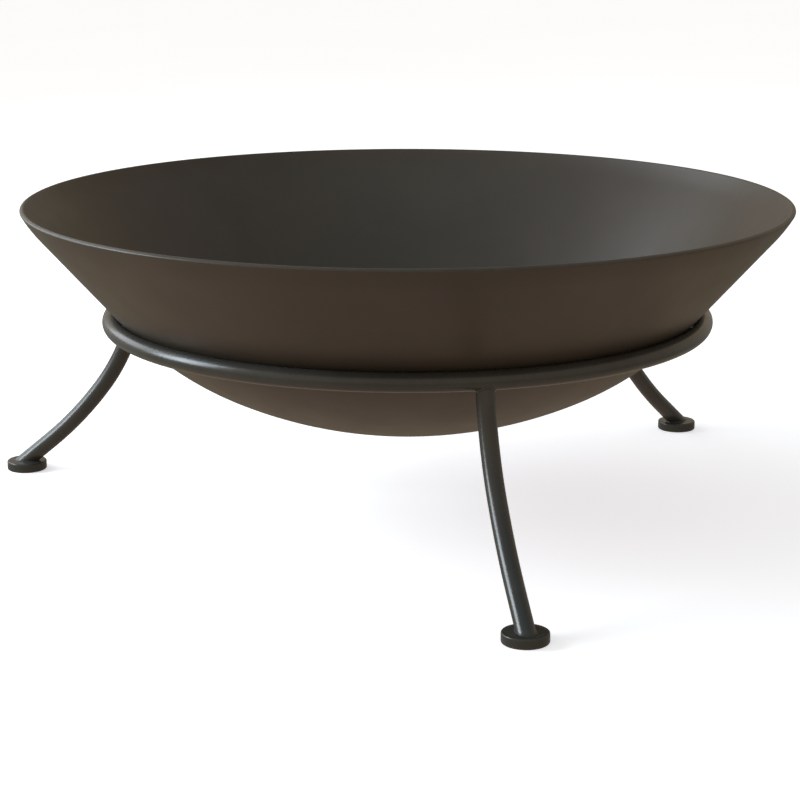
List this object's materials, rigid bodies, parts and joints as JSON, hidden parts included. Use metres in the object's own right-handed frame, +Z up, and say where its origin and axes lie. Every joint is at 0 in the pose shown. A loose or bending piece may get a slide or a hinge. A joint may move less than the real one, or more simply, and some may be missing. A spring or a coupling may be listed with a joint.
{
  "type": "fire bowl on a ring stand",
  "caption": "Wide shallow round steel fire bowl resting in a round-bar ring stand on splayed curved legs with flat disc feet.",
  "frame": {"origin": "on the floor under the centre of the bowl and of the ring", "axes": "+Z up along the axis of the bowl, -Y towards the front leg, +X to the right"},
  "size_m": [0.7204, 0.7623, 0.2872],
  "materials": {
    "bowl_coat": "satin dark brown high-temperature coat",
    "stand_coat": "satin black coat"
  },
  "bodies": {
    "stand": {"support_ring": "stand_coat", "leg_front": "stand_coat", "foot_front": "stand_coat", "ring_weld_front": "stand_coat", "foot_weld_front": "stand_coat", "leg_right": "stand_coat", "foot_right": "stand_coat", "ring_weld_right": "stand_coat", "foot_weld_right": "stand_coat", "leg_left": "stand_coat", "foot_left": "stand_coat", "ring_weld_left": "stand_coat", "foot_weld_left": "stand_coat"},
    "bowl": {"fire_bowl": "bowl_coat"}
  },
  "joints": [
    {"name": "bowl_lift", "type": "slide", "parent": "stand", "child": "bowl", "axis": [0, 0, 1], "range_m": [0, 0.2]}
  ]
}
